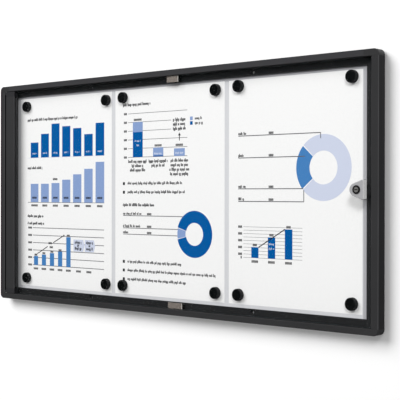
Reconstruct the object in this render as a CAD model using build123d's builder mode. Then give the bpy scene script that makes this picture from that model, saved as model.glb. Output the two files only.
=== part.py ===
from build123d import *
import os
from math import sqrt

# Slim wall display case for a row of A4 sheets, with a frameless hinged door.
# Millimetres. The wall is the plane Y = 0 and the front faces -Y, so a plane
# Plane.XZ.offset(d) lies d in front of the wall. X runs to the right, Z up,
# and the origin is the middle of the four wall screws.

# Paper sheets and the magnets that hold them. Each row of sheets gives a name,
# then how far its magnets sit from its top edge and from its right edge.
sheet_rows = (("left", 12.4, 10.1), ("middle", 10.7, 14.4), ("right", 8.3, 14.0))
sheet_width = 210.0
sheet_height = 297.0
sheet_thickness = 0.2
sheet_gap = 7.7
sheets_right_of_centre = 1.0
sheets_above_centre = 0.45
magnet_left_inset = 17.8
magnet_bottom_inset = 12.5
magnet_radius = 8.0
magnet_height = 6.0
magnet_edge_round = 1.2
magnet_wall = 1.6
ferrite_thickness = 3.0
ferrite_recess = 0.3
ferrite_clearance = 0.1

# Back of the case: a thin steel panel on a board, held in grooves of the frame.
side_margin = 8.3
end_margin = 4.2
board_inset = 0.8
board_thickness = 1.2
panel_thickness = 0.8
groove_depth = 2.0
groove_clearance = 0.1
panel_edge_gap = 0.3

# Frame profiles: a hollow raised face outside and a low ledge inside, on a foot
# that is set in from the outside, so that a shadow gap runs along the wall.
case_depth = 18.0
ledge_depth = 5.4
rail_face = 8.2
rail_ledge = 9.1
stile_face = 10.0
stile_ledge = 14.0
profile_wall = 1.4
foot_depth = 3.8
foot_inset = 2.5
edge_chamfer = 0.6
inner_edge_chamfer = 0.4
swing_chamfer = 1.3
seam_gap = 0.1

# Wall-fixing holes in the ledges of the rails.
wall_hole_from_centre = 155.0
wall_hole_radius = 2.25
wall_head_radius = 4.0

# Moulded corner pieces, with legs that plug into the profiles, and their screws.
corner_length = 21.0
corner_radius = 7.0
leg_length = 18.0
leg_clearance = 0.15
corner_screw_radius = 1.1
corner_screw_head_radius = 2.2
corner_screw_length = 12.0
screw_edge_margin = 0.3
screw_hole_clearance = 0.1

# Stop clips of folded sheet that the pane closes on. Each gives a name, up or
# down for its rail, how far right of the centre it sits, and its width.
stop_clips = (("stop_clip_top", 1, 18.3, 22.0), ("stop_clip_bottom", -1, 23.6, 27.0))
clip_sheet = 0.8
clip_ledge_margin = 0.4
clip_bend_radius = 1.4
clip_pane_gap = 0.2
rivet_radius = 1.2
rivet_head_radius = 2.1
rivet_head_height = 0.8
rivet_spacing = 10.0
rivet_tail = 1.2
rivet_hole_clearance = 0.05

# Door pane.
pane_thickness = 3.0
pane_recess = 2.6
pane_side_gap = 1.0
pane_end_gap = 0.8
pane_corner_radius = 2.0

# Hinge profile that clamps the pane's left edge, and its pivots.
hinge_groove = 3.6
hinge_profile_width = 21.4
hinge_profile_web = 4.6
hinge_profile_round = 1.5
hinge_back_lip = 1.2
hinge_lip_chamfer = 0.5
tape_thickness = 0.2
tape_side_inset = 1.0
tape_end_inset = 2.0
pane_slot_gap = 0.2
door_end_gap = 0.6
pivot_block_height = 8.0
pivot_knuckle_height = 4.0
pivot_radius = 1.9
pivot_stile_gap = 0.3
pivot_front_inset = 0.2
pin_radius = 1.2
pin_fit = 0.05
pin_in_corner = 6.0
pin_in_block = 3.5
pivot_screw_radius = 1.1
pivot_screw_head_radius = 2.0
pivot_screw_head_height = 1.4
pivot_screw_length = 16.0
pivot_screw_clearance = 0.1

# Cam lock in a boss on the pane's right edge.
lock_from_pane_edge = 16.5
lock_above_centre = 3.3
boss_right_reach = 9.8
boss_half_height = 12.3
boss_tip_reach = 10.4
boss_tip_radius = 8.0
boss_corner_radius = 1.8
boss_depth = 7.2
boss_edge_chamfer = 0.8
barrel_radius = 4.5
barrel_clearance = 0.1
barrel_tail = 0.6
ring_radius = 5.2
ring_height = 1.2
ring_edge_round = 0.4
nut_width = 12.0
nut_thickness = 2.5
nut_clearance = 0.05
plug_radius = 3.25
plug_fit = 0.05
plug_recess = 0.3
keyway_length = 4.8
keyway_width = 1.1
keyway_depth = 4.0
cam_width = 8.0
cam_thickness = 1.4
cam_engagement = 3.0
cam_gap = 0.3
cam_square = 4.0
cam_square_fit = 0.05
cam_screw_radius = 1.25
cam_screw_head_radius = 2.6
cam_screw_head_height = 1.3
cam_screw_length = 6.0
cam_screw_slot = 0.7
cam_screw_slot_depth = 0.6

# Strike for the lock cam: folded sheet, riveted to the right stile's inner wall.
strike_sheet = 1.4
strike_bend_radius = 1.0
strike_half_height = 7.0
strike_nut_gap = 0.6
strike_cam_gap = 0.5
strike_rivet_radius = 0.9
strike_rivet_head_radius = 1.6
strike_rivet_margin = 0.5

# Distances in front of the wall.
board_front = board_inset + board_thickness
panel_front = board_front + panel_thickness
sheet_front = panel_front + sheet_thickness
pane_front = case_depth - pane_recess
pane_back = pane_front - pane_thickness
slot_front = pane_front + tape_thickness
slot_back = pane_back - tape_thickness
hinge_back = slot_back - hinge_back_lip
clip_front = pane_back - clip_pane_gap
boss_front = pane_front + boss_depth
barrel_back = pane_back - nut_thickness - barrel_tail
cam_front = barrel_back - cam_gap
cam_back = cam_front - cam_thickness
strike_lip_back = cam_front + strike_cam_gap
strike_front = strike_lip_back + strike_sheet
strike_rivet_depth = (ledge_depth + strike_front) / 2
pivot_depth = case_depth - pivot_front_inset - pivot_radius
hollow_back = foot_depth + profile_wall
hollow_front = case_depth - profile_wall

# Half widths and half heights, from the opening outwards.
sheet_pitch = sheet_width + sheet_gap
row_width = len(sheet_rows) * sheet_pitch - sheet_gap
opening_x = row_width / 2 + side_margin
opening_z = sheet_height / 2 + end_margin
stile_inner = opening_x + stile_ledge
rail_inner = opening_z + rail_ledge
case_x = stile_inner + stile_face
case_z = rail_inner + rail_face
corner_inner = case_x - corner_length
screw_from_outside = foot_inset + corner_screw_head_radius + screw_edge_margin
wall_hole_z = opening_z + rail_ledge / 2
panel_x = opening_x + groove_depth - panel_edge_gap
panel_z = opening_z + groove_depth - panel_edge_gap

# Places on the door.
hinge_left = -stile_inner + hinge_groove
hinge_right = hinge_left + hinge_profile_width
slot_left = hinge_left + hinge_profile_web
pivot_x = -stile_inner + pivot_stile_gap + pivot_radius
door_z = rail_inner - door_end_gap
hinge_z = door_z - pivot_block_height
pane_left = slot_left + pane_slot_gap
pane_right = stile_inner - pane_side_gap
pane_z = rail_inner - pane_end_gap
port_x = hinge_left + hinge_profile_web / 2
port_depth = (slot_front + slot_back) / 2
lock_x = pane_right - lock_from_pane_edge
lock_z = lock_above_centre
boss_right = lock_x + boss_right_reach
strike_left = lock_x + nut_width / sqrt(3) + strike_nut_gap
strike_tab_height = 2 * (strike_rivet_head_radius + strike_rivet_margin)
strike_rivet_zs = [lock_z + way * (strike_half_height + strike_tab_height / 2) for way in (-1, 1)]
cam_length = strike_left + cam_engagement - lock_x

os.makedirs("parts", exist_ok=True)


def write(piece, name):
    """Name a finished piece and write it."""
    piece.label = name
    export_step(piece, f"parts/{name}.step")


def rectangle_between(x_low, x_high, y_low, y_high, mode=Mode.ADD):
    """Rectangle given by its limits, in the sketch that is open."""
    with Locations(((x_low + x_high) / 2, (y_low + y_high) / 2)):
        Rectangle(x_high - x_low, y_high - y_low, mode=mode)


def corner_screw_spots(side, level):
    """Screws of one corner: one in the leg in the rail, one in the leg in the stile."""
    rail_spot = (side * (corner_inner - leg_length / 2), level * (case_z - screw_from_outside))
    stile_spot = (side * (case_x - screw_from_outside), level * (rail_inner - leg_length / 2))
    return rail_spot, stile_spot


def back_plane(spot):
    """Plane on the back of the case at a place (x, z), facing the wall."""
    return Plane(origin=(spot[0], 0, spot[1]), x_dir=(1, 0, 0), z_dir=(0, 1, 0))


def back_countersink(spots):
    """Countersunk screw holes through the foot of a profile, in the part that is open."""
    with Locations(*[back_plane(spot) for spot in spots]):
        CounterSinkHole(
            radius=corner_screw_radius + screw_hole_clearance,
            counter_sink_radius=corner_screw_head_radius + screw_hole_clearance,
            depth=hollow_back,
            counter_sink_angle=90,
        )


# Top and bottom rail: the hollow face runs between the corner pieces, and the
# solid ledge, grooved for the back panel, runs between the ledges of the stiles.
rivet_depth = (ledge_depth + clip_front) / 2
rivet_xs = {
    level: [clip_x + way * rivet_spacing / 2 for way in (-1, 1)] for _, level, clip_x, _ in stop_clips
}
for name, level in (("frame_top", 1), ("frame_bottom", -1)):
    with BuildPart() as rail:
        with BuildSketch(Plane.YZ) as face_section:
            with BuildLine():
                Polyline(
                    (0, level * rail_inner),
                    (0, level * (case_z - foot_inset)),
                    (-foot_depth, level * (case_z - foot_inset)),
                    (-foot_depth, level * case_z),
                    (-case_depth + edge_chamfer, level * case_z),
                    (-case_depth, level * (case_z - edge_chamfer)),
                    (-case_depth, level * (rail_inner + inner_edge_chamfer)),
                    (-case_depth + inner_edge_chamfer, level * rail_inner),
                    close=True,
                )
            make_face()
            with Locations((-(hollow_back + hollow_front) / 2, level * (rail_inner + rail_face / 2))):
                Rectangle(
                    hollow_front - hollow_back,
                    rail_face - 2 * profile_wall,
                    mode=Mode.SUBTRACT,
                )
        extrude(amount=corner_inner - seam_gap, both=True)
        with BuildSketch(Plane.YZ) as ledge_section:
            with Locations((-ledge_depth / 2, level * (opening_z + rail_ledge / 2))):
                Rectangle(ledge_depth, rail_ledge)
            with Locations((-(board_inset + panel_front) / 2, level * (opening_z + groove_depth / 2))):
                Rectangle(
                    panel_front - board_inset + 2 * groove_clearance,
                    groove_depth,
                    mode=Mode.SUBTRACT,
                )
        extrude(amount=opening_x - seam_gap, both=True)
        wall_spots = [(side * wall_hole_from_centre, level * wall_hole_z) for side in (-1, 1)]
        with Locations(
            *[Plane((x, -ledge_depth, z), x_dir=(1, 0, 0), z_dir=(0, -1, 0)) for x, z in wall_spots]
        ):
            CounterSinkHole(
                radius=wall_hole_radius,
                counter_sink_radius=wall_head_radius,
                depth=ledge_depth,
                counter_sink_angle=90,
            )
        with BuildSketch(Plane.XY.offset(level * rail_inner)):
            with Locations(*[(x, -rivet_depth) for x in rivet_xs[level]]):
                Circle(rivet_radius + rivet_hole_clearance)
        extrude(amount=level * profile_wall, mode=Mode.SUBTRACT)
        back_countersink([corner_screw_spots(side, level)[0] for side in (-1, 1)])
    write(rail.part, name)

# Left and right stile: the same hollow face and grooved ledge, cut to stand
# between the rails' ends. The left one has a relief for the swinging door, the
# right one two rivet holes in its inner wall for the strike.
for name, side, inner_chamfer in (
    ("frame_left", -1, swing_chamfer),
    ("frame_right", 1, inner_edge_chamfer),
):
    with BuildPart() as stile:
        with BuildSketch() as stile_section:
            with BuildLine():
                Polyline(
                    (side * opening_x, 0),
                    (side * (case_x - foot_inset), 0),
                    (side * (case_x - foot_inset), -foot_depth),
                    (side * case_x, -foot_depth),
                    (side * case_x, -case_depth + edge_chamfer),
                    (side * (case_x - edge_chamfer), -case_depth),
                    (side * (stile_inner + inner_chamfer), -case_depth),
                    (side * stile_inner, -case_depth + inner_chamfer),
                    (side * stile_inner, -ledge_depth),
                    (side * opening_x, -ledge_depth),
                    close=True,
                )
            make_face()
            with Locations((side * (stile_inner + stile_face / 2), -(hollow_back + hollow_front) / 2)):
                Rectangle(
                    stile_face - 2 * profile_wall,
                    hollow_front - hollow_back,
                    mode=Mode.SUBTRACT,
                )
            with Locations((side * (opening_x + groove_depth / 2), -(board_inset + panel_front) / 2)):
                Rectangle(
                    groove_depth,
                    panel_front - board_inset + 2 * groove_clearance,
                    mode=Mode.SUBTRACT,
                )
        extrude(amount=rail_inner - seam_gap, both=True)
        back_countersink([corner_screw_spots(side, level)[1] for level in (-1, 1)])
        if name == "frame_right":
            with BuildSketch(Plane.YZ.offset(stile_inner)):
                with Locations(*[(-strike_rivet_depth, z) for z in strike_rivet_zs]):
                    Circle(strike_rivet_radius + rivet_hole_clearance)
            extrude(amount=profile_wall, mode=Mode.SUBTRACT)
    write(stile.part, name)

# Corner pieces: a block that carries the rail's outline round the corner, with
# one leg in the rail and one in the stile. The left ones carry the hinge pins.
for name, side, level in (
    ("corner_top_left", -1, 1),
    ("corner_top_right", 1, 1),
    ("corner_bottom_left", -1, -1),
    ("corner_bottom_right", 1, -1),
):
    with BuildPart() as corner:
        foot_length = corner_length - foot_inset
        foot_width = rail_face - foot_inset
        with BuildSketch(Plane.XZ) as foot:
            with Locations((side * (corner_inner + foot_length / 2), level * (rail_inner + foot_width / 2))):
                Rectangle(foot_length, foot_width)
            foot_corner = foot.vertices().sort_by_distance((side * case_x, level * case_z, 0))[0]
            fillet(foot_corner, radius=corner_radius - foot_inset)
        extrude(amount=foot_depth)
        with BuildSketch(Plane.XZ.offset(foot_depth)) as outline:
            with Locations((side * (case_x - corner_length / 2), level * (rail_inner + rail_face / 2))):
                Rectangle(corner_length, rail_face)
            outer_corner = outline.vertices().sort_by_distance((side * case_x, level * case_z, 0))[0]
            fillet(outer_corner, radius=corner_radius)
        extrude(amount=case_depth - foot_depth)
        front_edges = corner.faces().sort_by(Axis.Y)[0].edges()
        outside = front_edges.filter_by(
            lambda edge: side * edge.center().X > corner_inner + seam_gap
            and level * edge.center().Z > rail_inner + seam_gap
        )
        chamfer(outside, length=edge_chamfer)
        with BuildSketch(Plane.XZ.offset(hollow_back + leg_clearance)):
            with Locations(
                (side * (corner_inner - leg_length / 2), level * (rail_inner + rail_face / 2))
            ):
                Rectangle(leg_length, rail_face - 2 * (profile_wall + leg_clearance))
            with Locations((side * (stile_inner + stile_face / 2), level * (rail_inner - leg_length / 2))):
                Rectangle(stile_face - 2 * (profile_wall + leg_clearance), leg_length)
        extrude(amount=hollow_front - hollow_back - 2 * leg_clearance)
        with BuildSketch(Plane.XZ):
            with Locations(*corner_screw_spots(side, level)):
                Circle(corner_screw_radius + screw_hole_clearance)
        extrude(amount=corner_screw_length + screw_hole_clearance, mode=Mode.SUBTRACT)
        if side < 0:
            with BuildSketch(Plane.XY.offset(level * rail_inner)):
                with Locations((pivot_x, -pivot_depth)):
                    Circle(pin_radius + pin_fit)
            extrude(amount=level * pin_in_corner, mode=Mode.SUBTRACT)
    write(corner.part, name)

# Countersunk screws from the back, through the profiles into the corner legs.
with BuildPart() as corner_screws:
    screw_spots = [
        spot for side in (-1, 1) for level in (-1, 1) for spot in corner_screw_spots(side, level)
    ]
    with Locations(*[(x, 0, z) for x, z in screw_spots]):
        Cylinder(
            corner_screw_radius,
            corner_screw_length,
            rotation=(90, 0, 0),
            align=(Align.CENTER, Align.CENTER, Align.MIN),
        )
        Cone(
            corner_screw_head_radius,
            corner_screw_radius,
            corner_screw_head_radius - corner_screw_radius,
            rotation=(90, 0, 0),
            align=(Align.CENTER, Align.CENTER, Align.MIN),
        )
write(corner_screws.part, "corner_screws")

# Backing board and steel panel, one on the other in the frame's grooves.
with BuildPart() as backing_board:
    with BuildSketch(Plane.XZ.offset(board_inset)):
        Rectangle(2 * panel_x, 2 * panel_z)
    extrude(amount=board_thickness)
write(backing_board.part, "backing_board")

with BuildPart() as back_panel:
    with BuildSketch(Plane.XZ.offset(board_front)):
        Rectangle(2 * panel_x, 2 * panel_z)
    extrude(amount=panel_thickness)
write(back_panel.part, "back_panel")

# Paper sheets side by side on the panel, each held by four capped magnets.
for index, (sheet_name, top_inset, right_inset) in enumerate(sheet_rows):
    sheet_x = sheets_right_of_centre + (index - (len(sheet_rows) - 1) / 2) * sheet_pitch
    with BuildPart() as sheet:
        with BuildSketch(Plane.XZ.offset(panel_front)):
            with Locations((sheet_x, sheets_above_centre)):
                Rectangle(sheet_width, sheet_height)
        extrude(amount=sheet_thickness)
    write(sheet.part, f"sheet_{sheet_name}")

    magnet_left = sheet_x - sheet_width / 2 + magnet_left_inset
    magnet_right = sheet_x + sheet_width / 2 - right_inset
    magnet_top = sheets_above_centre + sheet_height / 2 - top_inset
    magnet_bottom = sheets_above_centre - sheet_height / 2 + magnet_bottom_inset
    for place, spot in (
        ("top_left", (magnet_left, magnet_top)),
        ("top_right", (magnet_right, magnet_top)),
        ("bottom_left", (magnet_left, magnet_bottom)),
        ("bottom_right", (magnet_right, magnet_bottom)),
    ):
        with BuildPart() as magnet_cap:
            with BuildSketch(Plane.XZ.offset(sheet_front)):
                with Locations(spot):
                    Circle(magnet_radius)
            extrude(amount=magnet_height)
            fillet(magnet_cap.faces().sort_by(Axis.Y)[0].edges(), radius=magnet_edge_round)
            with BuildSketch(Plane.XZ.offset(sheet_front)):
                with Locations(spot):
                    Circle(magnet_radius - magnet_wall)
            extrude(amount=ferrite_recess + ferrite_thickness, mode=Mode.SUBTRACT)
        write(magnet_cap.part, f"magnet_cap_{sheet_name}_{place}")
        with BuildPart() as magnet_disc:
            with BuildSketch(Plane.XZ.offset(sheet_front + ferrite_recess)):
                with Locations(spot):
                    Circle(magnet_radius - magnet_wall - ferrite_clearance)
            extrude(amount=ferrite_thickness)
        write(magnet_disc.part, f"magnet_disc_{sheet_name}_{place}")

# Stop clips: sheet folded to a front plate, two cheeks and a tab that is
# riveted to the inner wall of the rail. The pane closes on the front plate.
clip_low = opening_z + clip_ledge_margin
for name, level, clip_x, clip_width in stop_clips:
    with BuildPart() as clip:
        with BuildSketch(Plane.XZ.offset(ledge_depth)):
            with Locations((clip_x, level * (clip_low + rail_inner) / 2)):
                Rectangle(clip_width, rail_inner - clip_low)
        extrude(amount=clip_front - ledge_depth)
        bends = clip.faces().sort_by(Axis.Y)[0].edges().filter_by(Axis.Z)
        fillet(bends, radius=clip_bend_radius)
        with BuildSketch(Plane.XZ.offset(ledge_depth)):
            with Locations((clip_x, level * (clip_low + rail_inner - clip_sheet) / 2)):
                Rectangle(clip_width - 2 * clip_sheet, rail_inner - clip_sheet - clip_low)
        extrude(amount=clip_front - ledge_depth - clip_sheet, mode=Mode.SUBTRACT)
        with BuildSketch(Plane.XY.offset(level * rail_inner)):
            with Locations(*[(x, -rivet_depth) for x in rivet_xs[level]]):
                Circle(rivet_radius + rivet_hole_clearance)
        extrude(amount=-level * clip_sheet, mode=Mode.SUBTRACT)
    write(clip.part, name)

# Rivets of the stop clips, with a head inside the clip and a shank in the rail.
with BuildPart() as clip_rivets:
    for level in (1, -1):
        with BuildSketch(Plane.XY.offset(level * (rail_inner - clip_sheet))):
            with Locations(*[(x, -rivet_depth) for x in rivet_xs[level]]):
                Circle(rivet_radius)
        extrude(amount=level * (clip_sheet + profile_wall + rivet_tail))
        with BuildSketch(Plane.XY.offset(level * (rail_inner - clip_sheet))):
            with Locations(*[(x, -rivet_depth) for x in rivet_xs[level]]):
                Circle(rivet_head_radius)
        extrude(amount=-level * rivet_head_height)
write(clip_rivets.part, "clip_rivets")

# Hinge pins, one in each left corner piece.
for name, level in (("hinge_pin_top", 1), ("hinge_pin_bottom", -1)):
    with BuildPart() as pin:
        with BuildSketch(Plane.XY.offset(level * (door_z - pin_in_block))):
            with Locations((pivot_x, -pivot_depth)):
                Circle(pin_radius)
        extrude(amount=level * (pin_in_block + door_end_gap + pin_in_corner - pin_fit))
    write(pin.part, name)

# Hinge profile: an extrusion with a slot for the pane and a port for the screws.
with BuildPart() as hinge_profile:
    with BuildSketch() as hinge_section:
        rectangle_between(hinge_left, hinge_right, -case_depth, -hinge_back)
        front_corners = hinge_section.vertices().group_by(Axis.Y)[0].sort_by(Axis.X)
        fillet(front_corners[0], radius=hinge_profile_round)
        lip_corner = hinge_section.vertices().sort_by_distance((hinge_right, -case_depth, 0))[0]
        chamfer(lip_corner, length=hinge_lip_chamfer)
        rectangle_between(slot_left, hinge_right, -slot_front, -slot_back, mode=Mode.SUBTRACT)
        with Locations((port_x, -port_depth)):
            Circle(pivot_screw_radius + pivot_screw_clearance, mode=Mode.SUBTRACT)
    extrude(amount=hinge_z, both=True)
write(hinge_profile.part, "hinge_profile")

# Pivot blocks: they close the ends of the hinge profile, and turn on the pins
# with a short knuckle beside the profile.
for name, level in (("pivot_block_top", 1), ("pivot_block_bottom", -1)):
    with BuildPart() as block:
        with BuildSketch(Plane.XY.offset(level * hinge_z)) as block_section:
            rectangle_between(hinge_left, hinge_right, -case_depth, -hinge_back)
            front_corners = block_section.vertices().group_by(Axis.Y)[0].sort_by(Axis.X)
            fillet(front_corners[0], radius=hinge_profile_round)
            rectangle_between(slot_left, hinge_right, -slot_front, -slot_back, mode=Mode.SUBTRACT)
        extrude(amount=level * pivot_block_height)
        with BuildSketch(Plane.XY.offset(level * door_z)):
            rectangle_between(
                pivot_x,
                port_x,
                -pivot_depth - pivot_radius,
                -pivot_depth + pivot_radius,
            )
            with Locations((pivot_x, -pivot_depth)):
                Circle(pivot_radius)
        extrude(amount=-level * pivot_knuckle_height)
        with BuildSketch(Plane.XY.offset(level * door_z)):
            with Locations((port_x, -port_depth)):
                Circle(pivot_screw_radius + pivot_screw_clearance)
        extrude(amount=-level * pivot_block_height, mode=Mode.SUBTRACT)
        with BuildSketch(Plane.XY.offset(level * door_z)):
            with Locations((pivot_x, -pivot_depth)):
                Circle(pin_radius + pin_fit)
        extrude(amount=-level * (pin_in_block + pin_fit), mode=Mode.SUBTRACT)
        with BuildSketch(Plane.XY.offset(level * door_z)):
            with Locations((port_x, -port_depth)):
                Circle(pivot_screw_head_radius + pivot_screw_clearance)
        extrude(amount=-level * pivot_screw_head_height, mode=Mode.SUBTRACT)
    write(block.part, name)

# Screws that hold the pivot blocks on the hinge profile.
with BuildPart() as pivot_screws:
    for level in (1, -1):
        with BuildSketch(Plane.XY.offset(level * (door_z - pivot_screw_head_height))):
            with Locations((port_x, -port_depth)):
                Circle(pivot_screw_head_radius)
        extrude(amount=level * pivot_screw_head_height)
        with BuildSketch(Plane.XY.offset(level * (door_z - pivot_screw_head_height))):
            with Locations((port_x, -port_depth)):
                Circle(pivot_screw_radius)
        extrude(amount=-level * pivot_screw_length)
write(pivot_screws.part, "pivot_screws")

# Clear door pane, drilled for the lock.
with BuildPart() as door_pane:
    with BuildSketch(Plane.XZ.offset(pane_back)) as pane_outline:
        rectangle_between(pane_left, pane_right, -pane_z, pane_z)
        fillet(pane_outline.vertices().group_by(Axis.X)[-1], radius=pane_corner_radius)
        with Locations((lock_x, lock_z)):
            Circle(barrel_radius + barrel_clearance, mode=Mode.SUBTRACT)
    extrude(amount=pane_thickness)
write(door_pane.part, "door_pane")

# Tapes that hold the pane in the slot, one in front of it and one behind.
for name, tape_back in (("pane_tape_front", pane_front), ("pane_tape_back", slot_back)):
    with BuildPart() as tape:
        with BuildSketch(Plane.XZ.offset(tape_back)):
            rectangle_between(
                pane_left + tape_side_inset,
                hinge_right - tape_side_inset,
                -hinge_z + tape_end_inset,
                hinge_z - tape_end_inset,
            )
        extrude(amount=tape_thickness)
    write(tape.part, name)

# Lock housing: a boss with a round tip beside the lock and a straight right edge.
with BuildPart() as lock_housing:
    with BuildSketch(Plane.XZ.offset(pane_front)):
        with Locations((lock_x - boss_tip_reach + boss_tip_radius, lock_z)):
            Circle(boss_tip_radius)
        with Locations(
            *[
                (boss_right - boss_corner_radius, lock_z + way * (boss_half_height - boss_corner_radius))
                for way in (-1, 1)
            ]
        ):
            Circle(boss_corner_radius)
        make_hull()
    extrude(amount=boss_depth)
    chamfer(lock_housing.faces().sort_by(Axis.Y)[0].edges(), length=boss_edge_chamfer)
    with BuildSketch(Plane.XZ.offset(pane_front)):
        with Locations((lock_x, lock_z)):
            Circle(barrel_radius + barrel_clearance)
    extrude(amount=boss_depth, mode=Mode.SUBTRACT)
write(lock_housing.part, "lock_housing")

# Lock barrel: a tube through housing and pane, with a ring on the front.
with BuildPart() as lock_barrel:
    with BuildSketch(Plane.XZ.offset(boss_front)):
        with Locations((lock_x, lock_z)):
            Circle(ring_radius)
    extrude(amount=ring_height)
    fillet(lock_barrel.faces().sort_by(Axis.Y)[0].edges(), radius=ring_edge_round)
    with BuildSketch(Plane.XZ.offset(barrel_back)):
        with Locations((lock_x, lock_z)):
            Circle(barrel_radius)
    extrude(amount=boss_front - barrel_back)
    with BuildSketch(Plane.XZ.offset(barrel_back)):
        with Locations((lock_x, lock_z)):
            Circle(plug_radius + plug_fit)
    extrude(amount=boss_front + ring_height - barrel_back, mode=Mode.SUBTRACT)
write(lock_barrel.part, "lock_barrel")

# Hexagon nut that clamps the barrel on the pane from behind.
with BuildPart() as lock_nut:
    with BuildSketch(Plane.XZ.offset(pane_back - nut_thickness)):
        with Locations((lock_x, lock_z)):
            RegularPolygon(radius=nut_width / 2, side_count=6, major_radius=False)
            Circle(barrel_radius + nut_clearance, mode=Mode.SUBTRACT)
    extrude(amount=nut_thickness)
write(lock_nut.part, "lock_nut")

# Lock plug: it turns in the barrel, with a key slot in front and a square behind.
with BuildPart() as lock_plug:
    with BuildSketch(Plane.XZ.offset(barrel_back)):
        with Locations((lock_x, lock_z)):
            Circle(plug_radius)
    extrude(amount=boss_front + ring_height - plug_recess - barrel_back)
    with BuildSketch(Plane.XZ.offset(boss_front + ring_height - plug_recess)):
        with Locations((lock_x, lock_z)):
            Rectangle(keyway_length, keyway_width)
    extrude(amount=-keyway_depth, mode=Mode.SUBTRACT)
    with BuildSketch(Plane.XZ.offset(cam_back)):
        with Locations((lock_x, lock_z)):
            Rectangle(cam_square, cam_square)
    extrude(amount=barrel_back - cam_back)
    with BuildSketch(Plane.XZ.offset(cam_back)):
        with Locations((lock_x, lock_z)):
            Circle(cam_screw_radius + screw_hole_clearance)
    extrude(amount=cam_screw_length, mode=Mode.SUBTRACT)
write(lock_plug.part, "lock_plug")

# Lock cam, drawn unlocked: it hangs down, and turns right to lie behind the strike.
with BuildPart() as lock_cam:
    with BuildSketch(Plane.XZ.offset(cam_back)):
        with Locations((lock_x, lock_z), (lock_x, lock_z - cam_length + cam_width / 2)):
            Circle(cam_width / 2)
        make_hull()
        with Locations((lock_x, lock_z)):
            Rectangle(
                cam_square + 2 * cam_square_fit,
                cam_square + 2 * cam_square_fit,
                mode=Mode.SUBTRACT,
            )
    extrude(amount=cam_thickness)
write(lock_cam.part, "lock_cam")

# Screw that holds the cam on the plug's square, with a cross recess.
with BuildPart() as cam_screw:
    with BuildSketch(Plane.XZ.offset(cam_back)):
        with Locations((lock_x, lock_z)):
            Circle(cam_screw_head_radius)
    extrude(amount=-cam_screw_head_height)
    with BuildSketch(Plane.XZ.offset(cam_back - cam_screw_head_height)):
        with Locations((lock_x, lock_z)):
            Rectangle(cam_screw_head_radius, cam_screw_slot)
            Rectangle(cam_screw_slot, cam_screw_head_radius)
    extrude(amount=cam_screw_slot_depth, mode=Mode.SUBTRACT)
    with BuildSketch(Plane.XZ.offset(cam_back)):
        with Locations((lock_x, lock_z)):
            Circle(cam_screw_radius)
    extrude(amount=cam_screw_length)
write(cam_screw.part, "cam_screw")

# Strike: an angle on the stile's inner wall, whose lip holds the cam when it is turned.
with BuildPart() as lock_strike:
    with BuildSketch(Plane.XY.offset(lock_z)) as strike_section:
        rectangle_between(stile_inner - strike_sheet, stile_inner, -strike_front, -ledge_depth)
        rectangle_between(strike_left, stile_inner, -strike_front, -strike_lip_back)
        bend = strike_section.vertices().sort_by_distance((stile_inner, -strike_front, 0))[0]
        fillet(bend, radius=strike_bend_radius)
    extrude(amount=strike_half_height, both=True)
    for way in (-1, 1):
        with BuildSketch(Plane.XY.offset(lock_z + way * strike_half_height)):
            rectangle_between(stile_inner - strike_sheet, stile_inner, -strike_front, -ledge_depth)
        extrude(amount=way * strike_tab_height)
    with BuildSketch(Plane.YZ.offset(stile_inner)):
        with Locations(*[(-strike_rivet_depth, z) for z in strike_rivet_zs]):
            Circle(strike_rivet_radius + rivet_hole_clearance)
    extrude(amount=-strike_sheet, mode=Mode.SUBTRACT)
write(lock_strike.part, "lock_strike")

# Rivets of the strike, with a head on each tab and a shank in the stile.
with BuildPart() as strike_rivets:
    with BuildSketch(Plane.YZ.offset(stile_inner - strike_sheet)):
        with Locations(*[(-strike_rivet_depth, z) for z in strike_rivet_zs]):
            Circle(strike_rivet_radius)
    extrude(amount=strike_sheet + profile_wall + rivet_tail)
    with BuildSketch(Plane.YZ.offset(stile_inner - strike_sheet)):
        with Locations(*[(-strike_rivet_depth, z) for z in strike_rivet_zs]):
            Circle(strike_rivet_head_radius)
    extrude(amount=-rivet_head_height)
write(strike_rivets.part, "strike_rivets")
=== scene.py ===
from math import pi, radians
from random import Random

import bmesh
import bpy
from mathutils import Euler, Matrix, Vector


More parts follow.
